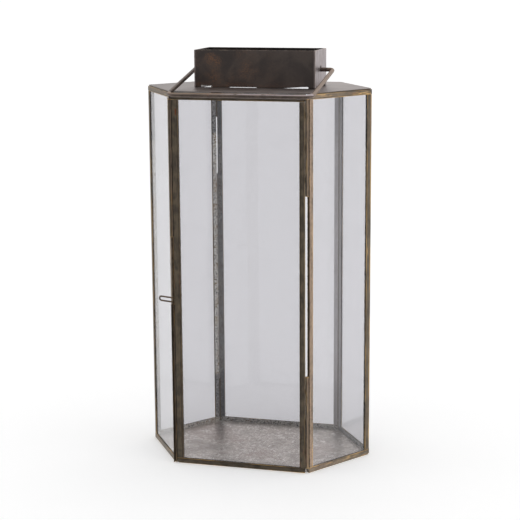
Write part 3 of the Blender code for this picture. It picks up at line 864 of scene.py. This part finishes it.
# ------------------------------------------------------------------------------------ sub-assemblies
@dataclass
class Assembly:
    """A group of pieces that are made and dressed together."""

    bench: Bench = field(default_factory=Bench)
    bronze: AgedBronze = field(default_factory=AgedBronze)
    solder: Solder = field(default_factory=Solder)

    def dress(self, node: str, material: bpy.types.Material) -> None:
        """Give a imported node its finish.

        Args:
            node: The node's name.
            material: Its finish.
        """
        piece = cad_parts[node]
        piece.data.materials.clear()
        piece.data.materials.append(material)
        log.info("%s is dressed in %s", node, material.name)

    def add(self, piece: bpy.types.Object, body: Body, material: bpy.types.Material, slot: str) -> None:
        """Fit a modelled piece to a body.

        Args:
            piece: The piece, in place.
            body: The body that it moves with.
            material: Its finish.
            slot: The record's material slot meant for the finish; not used.
        """
        piece.data.materials.clear()
        piece.data.materials.append(material)
        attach(piece, body.value)
        log.info("%s rides on the %s", piece.name, body.value)


@dataclass
class GlazedFrames(Assembly):
    """The door's frame and the five fixed ones."""

    zinc: BareZinc = field(default_factory=BareZinc)
    glass: OldGlass = field(default_factory=OldGlass)
    faces: dict[str, Face] = field(default_factory=dict)
    closed_after: tuple[str, ...] = ("right_front", "right_rear", "left_rear")
    rails: dict[str, Wear] = field(default_factory=lambda: {
        "door": Wear(0.1, left_dark=0.30, right_dark=0.30, edges=1.0),
        "right_front": Wear(0.75, 0.35, right_dark=0.15),
        "left_rear": Wear(clean=0.8), "rear": Wear(clean=0.35)})
    stiles: dict[str, Wear] = field(default_factory=lambda: {
        "door": Wear(0.1, edges=0.35, edge_shade=0.9, rusted=0.8),
        "right_front": Wear(0.25, 0.85, right_dark=0.30, edge_shade=0.9),
        "right_rear": Wear(right_even=0.85),
        "rear": Wear(0.4, right_smoke=0.8, left_even=0.85),
        "left_rear": Wear(0.4, right_smoke=0.1)})
    head_length: float = 0.0365
    foot_length: float = 0.0480
    slit_end: float = 0.0950
    recess: float = 0.0008
    tack_width: float = 0.0022
    tack_depth: float = 0.0010

    def build(self) -> None:
        """Dress every frame and solder the corners."""
        for name in ("door", "right_front", "right_rear", "rear", "left_rear", "left_front"):
            face = Face.measure(name)
            self.faces[name] = face
            for run, wears, parts in ((Run.STILE, self.stiles, ("left_stile", "right_stile")),
                                      (Run.RAIL, self.rails, ("bottom_rail", "top_rail"))):
                finish = CameFinish(face, run, self.bronze, self.zinc).material(wears.get(name, Wear()))
                for part in parts:
                    self.dress(f"{name}_{part}", finish)
            self.dress(f"{name}_glass", self.glass.material(face))
        self.solder_corners()

    def solder_corners(self) -> None:
        """Bridge the slit between neighbouring frames near the roof and the base."""
        smoked = self.solder.material("corner_solder", 0.9)
        clean = self.solder.material("corner_fillet", 0.1)
        ring = ["right_front", "right_rear", "rear", "left_rear", "left_front"]
        for seed, (left, right) in enumerate(zip(ring, ring[1:])):
            first, second = self.faces[left], self.faces[right]
            depth = 2 * first.half_depth
            bottom = first.middle.z - first.half_height
            top = first.middle.z + first.half_height
            end = 0.0004
            lengths = [("head", depth, top - self.head_length, top - end),
                       ("fillet", depth - self.recess, bottom + self.foot_length, top - self.slit_end),
                       ("foot", depth, bottom + end, bottom + self.foot_length)]
            if left in self.closed_after:
                lengths = [("fillet", depth, bottom + end, top - end)]
            for level, inset, low, high in lengths:
                ends = []
                for height in (low, high):
                    inner = first.place(first.half_width, inset, height)
                    ends.append((inner + second.place(-second.half_width, inset, height)) / 2)
                bisector = first.outward + second.outward
                turn = math.atan2(bisector.y, bisector.x) - math.pi / 2
                seam = self.bench.seam(f"{left}_corner_solder_{level}", ends[0], ends[1],
                                       self.tack_width, self.tack_depth, 0.0022, seed * 2 + len(level), turn)
                self.add(seam, Body.LANTERN, clean if level == "fillet" else smoked, "galvanised_zinc")


@dataclass
class Plates(Assembly):
    """Base plate, roof plate, header and the seams that hold them."""

    seam_width: float = 0.0009
    seam_height: float = 0.0007

    def build(self, faces: dict[str, Face]) -> None:
        """Dress the plates and run a seam round the roof.

        Args:
            faces: The measured faces.
        """
        self.dress("base_plate", GalvanisedPlate().material())
        self.dress("roof_plate", RoofFinish().material())
        door = faces["door"]
        header_low, header_high = corners("door_header")
        centre = (header_low + header_high) / 2
        header = Face("header", door.outward, door.direction, centre,
                      (header_high.x - header_low.x) / 2, (header_high.z - header_low.z) / 2,
                      (header_high.y - header_low.y) / 2, {Run.RAIL: (header_high.z - header_low.z,) * 2})
        self.dress("door_header", CameFinish(header, Run.RAIL, self.bronze, BareZinc()).material(Wear(0.5)))
        coated = self.solder.material("roof_solder", 0.95)
        roof_low = corners("roof_plate")[0]
        for seed, name in enumerate(("right_front", "right_rear", "rear", "left_rear", "left_front")):
            face = faces[name]
            margin = 0.004
            height = roof_low.z + 0.00015
            ends = [face.place(side * (face.half_width - margin), 0.00065, height) for side in (-1, 1)]
            seam = self.bench.seam(f"{name}_roof_solder", ends[0], ends[1], self.seam_width,
                                   self.seam_height, 0.0045, 20 + seed)
            self.add(seam, Body.LANTERN, coated, "roof_bronze")


@dataclass
class Chimney(Assembly):
    """The open chimney and the fillets under its feet."""

    foot_bead: Vector = field(default_factory=lambda: Vector((0.0022, 0.0009, 0.0007)))

    def build(self) -> None:
        """Dress the chimney and solder its feet down."""
        self.dress("chimney", ChimneyFinish().material())
        low, high = corners("chimney")
        coated = self.solder.material("foot_solder", 0.9)
        sheet = 0.0008
        for index, (side, end) in enumerate(((-1, -1), (1, -1), (1, 1), (-1, 1))):
            x = (low.x + high.x) / 2 + side * ((high.x - low.x) / 2 - sheet - 0.0012)
            y = (low.y + high.y) / 2 + end * ((high.y - low.y) / 2 - sheet - 0.0006)
            bead = self.bench.bead(f"chimney_foot_solder_{index + 1}", Vector((x, y, low.z + 0.0004)),
                                   self.foot_bead, 0.0, 40 + index)
            self.add(bead, Body.LANTERN, coated, "chimney_bronze")


@dataclass
class Hinge(Assembly):
    """Hinge tubes and pins, with the beads that hold them."""

    bead: Vector = field(default_factory=lambda: Vector((0.0007, 0.0006, 0.0030)))
    beads_per_tube: int = 3

    def build(self) -> None:
        """Dress the hinge and solder the tubes to the door."""
        coated = self.solder.material("hinge_solder", 0.75)
        finish = TubeFinish()
        for node in ("upper_hinge_tube", "lower_hinge_tube"):
            self.dress(node, finish.material(node, math.radians(-160)))
            low, high = corners(node)
            radius = (high.x - low.x) / 2
            for index in range(self.beads_per_tube):
                share = (index + 0.5) / self.beads_per_tube
                place = Vector((low.x - 0.0001, (low.y + high.y) / 2 + radius * 0.62,
                                low.z + (high.z - low.z) * share))
                made = self.bench.bead(f"{node}_solder_{index + 1}", place, self.bead, 0.0, 60 + index)
                self.add(made, Body.DOOR, coated, "aged_bronze")
        wire = WireFinish().material("hinge_pin_bronze", self.bronze.deep, self.bronze.olive, 320.0)
        for node in ("upper_hinge_pin", "lower_hinge_pin"):
            self.dress(node, wire)


@dataclass
class Latch(Assembly):
    """Sleeve, keeper and the wire that slides between them."""

    seam_width: float = 0.0012
    seam_depth: float = 0.0010
    blackened: float = 0.2

    def build(self) -> None:
        """Dress the latch and solder its sleeve and keeper."""
        finish = TubeFinish()
        coated = self.solder.material("latch_solder", 0.6)
        for node, body, side in (("latch_sleeve", Body.DOOR, 1), ("latch_keeper", Body.LANTERN, -1)):
            self.dress(node, finish.material(node, math.radians(-60), self.blackened))
            low, high = corners(node)
            x = (low.x + high.x) / 2 + side * (high.x - low.x) * 0.42
            ends = [Vector((x, high.y - 0.0008, level)) for level in (low.z + 0.001, high.z - 0.001)]
            made = self.bench.seam(f"{node}_solder", ends[0], ends[1], self.seam_width, self.seam_depth,
                                   0.004, 80 + side)
            self.add(made, body, coated, "aged_bronze")
        wire = WireFinish().material("latch_wire_dark", tone(0.30, 0.26, 0.22), tone(0.44, 0.38, 0.32), 260.0)
        self.dress("latch_wire", wire)


@dataclass
class Bail(Assembly):
    """The swinging wire handle."""

    def build(self) -> None:
        """Dress the handle."""
        wire = WireFinish().material("bail_bronze", tone(0.38, 0.345, 0.33), tone(0.47, 0.42, 0.39), 90.0,
                                      corners("bail_handle")[0])
        self.dress("bail_handle", wire)


# ------------------------------------------------------------------------------------ studio
@dataclass(frozen=True)
class Studio:
    """White sweep behind and beside the lantern, a darker room in front, and the camera."""

    front_level: float = 0.24
    side_level: float = 1.0
    top_level: float = 0.82
    left_drop: float = 0.20
    camera_place: Vector = Vector((0.3871, -1.3936, 0.4813))
    yaw: float = math.radians(-15.484)
    pitch: float = math.radians(11.309)
    roll: float = math.radians(-0.374)
    lens: float = 102.82
    floor_radius: float = 40.0
    floor_glow: float = 0.30

    def build(self) -> None:
        """Set up the surroundings, the floor and the camera."""
        self.build_world()
        self.build_floor()
        self.build_camera()
        view = bpy.context.scene.view_settings
        view.view_transform = "Standard"
        view.look = "None"

    def build_world(self) -> None:
        """Build the soft surroundings that light the lantern."""
        world = bpy.data.worlds.new("studio")
        world.use_nodes = True
        bpy.context.scene.world = world
        graph = Graph(world.node_tree)
        x, y, z = graph.split(graph.node("ShaderNodeTexCoord", output="Generated"))
        away = y.step(-0.90, -0.25)
        side = 1.0 - x.step(-0.35, -0.70) * self.left_drop
        level = away * (side * self.side_level - self.front_level) + self.front_level
        top = z.step(0.35, 0.85)
        level = level * (1.0 - top) + top * self.top_level
        strength = level.most(Value(graph, graph.node("ShaderNodeLightPath", output="Is Camera Ray")) * 1.05)
        light = graph.node("ShaderNodeBackground", {}, {"Color": (1.0, 1.0, 1.0, 1.0), "Strength": strength})
        graph.finish(light, "ShaderNodeOutputWorld")

    def build_floor(self) -> None:
        """Lay the pale floor."""
        bpy.ops.object.select_all(action="DESELECT")
        bpy.ops.mesh.primitive_circle_add(vertices=96, radius=self.floor_radius, fill_type="NGON",
                                          location=(0.0, 0.0, -0.0002))
        floor = bpy.context.object
        floor.name = "studio_floor"
        made, graph = new_material("pale_floor")
        graph.finish(graph.node("ShaderNodeBsdfPrincipled", {}, {
            "Base Color": tone(0.97, 0.97, 0.97), "Roughness": 0.9, "Specular IOR Level": 0.0,
            "Emission Color": (1.0, 1.0, 1.0, 1.0), "Emission Strength": self.floor_glow}))
        floor.data.materials.append(made)
        floor.visible_glossy = False

    def build_camera(self) -> None:
        """Place the camera."""
        bpy.ops.object.select_all(action="DESELECT")
        camera_data = bpy.data.cameras.new("camera")
        camera_data.lens = self.lens
        camera_data.sensor_width = 36.0
        camera = bpy.data.objects.new("camera", camera_data)
        bpy.context.scene.collection.objects.link(camera)
        ahead = Vector((math.sin(self.yaw) * math.cos(self.pitch),
                        math.cos(self.yaw) * math.cos(self.pitch), -math.sin(self.pitch)))
        right = Vector((math.cos(self.yaw), -math.sin(self.yaw), 0.0))
        up = right.cross(ahead)
        level_right = right * math.cos(self.roll) + up * math.sin(self.roll)
        level_up = up * math.cos(self.roll) - right * math.sin(self.roll)
        turn = Matrix((level_right, level_up, -ahead)).transposed().to_4x4()
        camera.matrix_world = Matrix.Translation(self.camera_place) @ turn
        bpy.context.scene.camera = camera


def main() -> None:
    """Dress the lantern, add its solder and set up the studio."""
    logging.basicConfig(level=logging.INFO, format="%(name)s: %(message)s")
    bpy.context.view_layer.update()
    frames = GlazedFrames()
    frames.build()
    Plates().build(frames.faces)
    Chimney().build()
    Hinge().build()
    Latch().build()
    Bail().build()
    Studio().build()


if __name__ == "__main__":
    main()
